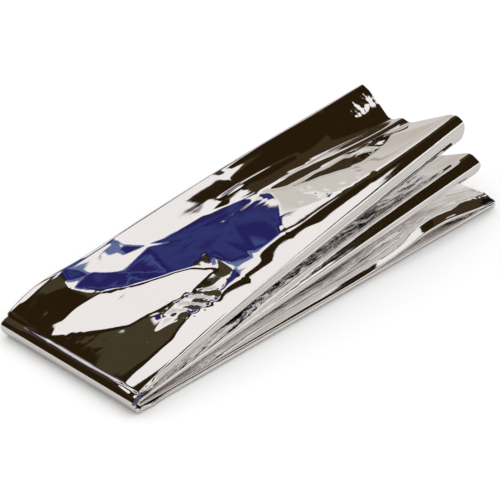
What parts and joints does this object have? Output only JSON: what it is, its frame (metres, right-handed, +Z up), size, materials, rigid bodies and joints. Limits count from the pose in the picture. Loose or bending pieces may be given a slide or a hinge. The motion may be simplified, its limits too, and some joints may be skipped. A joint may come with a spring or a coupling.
{
  "type": "folded emergency foil blanket",
  "caption": "Silver foil survival blanket, pleated into a strip and doubled over, pressed flat at one end and fanned open into loops at the other.",
  "frame": {"origin": "middle of the bundle's bounding box, on its flat underside", "axes": "+X from the flat near end to the open far end, +Y from the front pleats to the back ones, +Z up"},
  "size_m": [0.353, 0.1252, 0.0705],
  "materials": {
    "foil": "mirror-bright metallised polyester film with fine creases"
  },
  "bodies": {
    "root": {"foil_sheet": "foil"}
  },
  "joints": []
}
